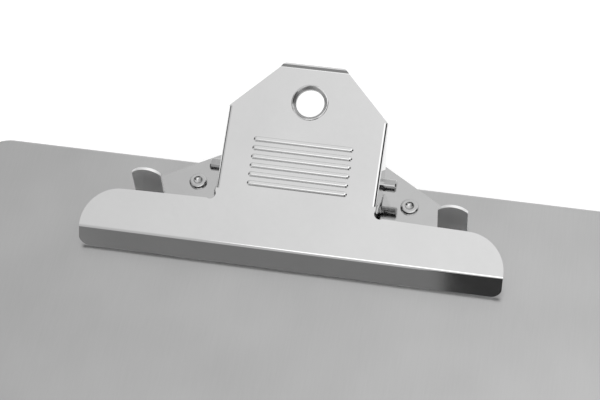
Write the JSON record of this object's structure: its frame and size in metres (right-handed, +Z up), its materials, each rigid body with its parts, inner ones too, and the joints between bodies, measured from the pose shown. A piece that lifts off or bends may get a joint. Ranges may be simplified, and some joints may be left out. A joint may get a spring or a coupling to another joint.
{
  "type": "storage clipboard box",
  "caption": "Shallow hinged document box whose lid is a writing board with a sprung lever clip, stop tabs for the sheets' top edge and a snap latch.",
  "frame": {"origin": "middle of the tray's underside, measured across the closed box", "axes": "+Z up out of the writing face, +Y along the hinge towards the clip, +X away from the hinge"},
  "size_m": [0.226, 0.361, 0.0568],
  "materials": {
    "tray": "satin aluminium sheet",
    "lid": "satin aluminium sheet",
    "tray_hinge_leaf": "mill-finish aluminium",
    "lid_hinge_leaf": "mill-finish aluminium",
    "hinge_pin": "drawn steel wire",
    "tray_hinge_rivets": "plain aluminium rivets",
    "lid_hinge_rivets": "plain aluminium rivets",
    "latch_spring": "tempered spring steel",
    "latch_stud": "nickel-plated turned steel",
    "latch_rivets": "plain aluminium rivets",
    "clip_base": "nickel-plated pressed steel",
    "clip_lever": "nickel-plated pressed steel",
    "pivot_pin": "polished plated steel",
    "left_spring": "drawn spring wire",
    "right_spring": "drawn spring wire",
    "left_clip_rivet": "nickel-plated tubular rivet",
    "right_clip_rivet": "nickel-plated tubular rivet",
    "left_rivet_washer": "zinc-plated steel",
    "right_rivet_washer": "zinc-plated steel"
  },
  "bodies": {
    "tray": {"tray": "tray", "tray_hinge_leaf": "tray_hinge_leaf", "hinge_pin": "hinge_pin", "tray_hinge_rivets": "tray_hinge_rivets", "latch_spring": "latch_spring", "latch_rivets": "latch_rivets"},
    "lid": {"lid": "lid", "lid_hinge_leaf": "lid_hinge_leaf", "lid_hinge_rivets": "lid_hinge_rivets", "clip_base": "clip_base", "pivot_pin": "pivot_pin", "left_spring": "left_spring", "right_spring": "right_spring", "left_clip_rivet": "left_clip_rivet", "right_clip_rivet": "right_clip_rivet", "left_rivet_washer": "left_rivet_washer", "right_rivet_washer": "right_rivet_washer"},
    "clip_lever": {"clip_lever": "clip_lever"},
    "latch_stud": {"latch_stud": "latch_stud"}
  },
  "joints": [
    {"name": "lid_hinge", "type": "hinge", "parent": "tray", "child": "lid", "pos_m": [-0.11315, 0, 0.0168], "axis": [0, -1, 0], "range_deg": [0, 165]},
    {"name": "lever_pivot", "type": "hinge", "parent": "lid", "child": "clip_lever", "pos_m": [0, 0.163, 0.0348], "axis": [-1, 0, 0], "range_deg": [0, 25], "stiffness_Nm_per_rad": 0.9, "springref_deg": -31.51, "deforming": ["left_spring", "right_spring"]},
    {"name": "latch_slide", "type": "slide", "parent": "tray", "child": "latch_stud", "axis": [-1, 0, 0], "range_m": [0, 0.0014], "stiffness_N_per_m": 1500, "springref_m": -0.0005, "deforming": ["latch_spring"]}
  ]
}
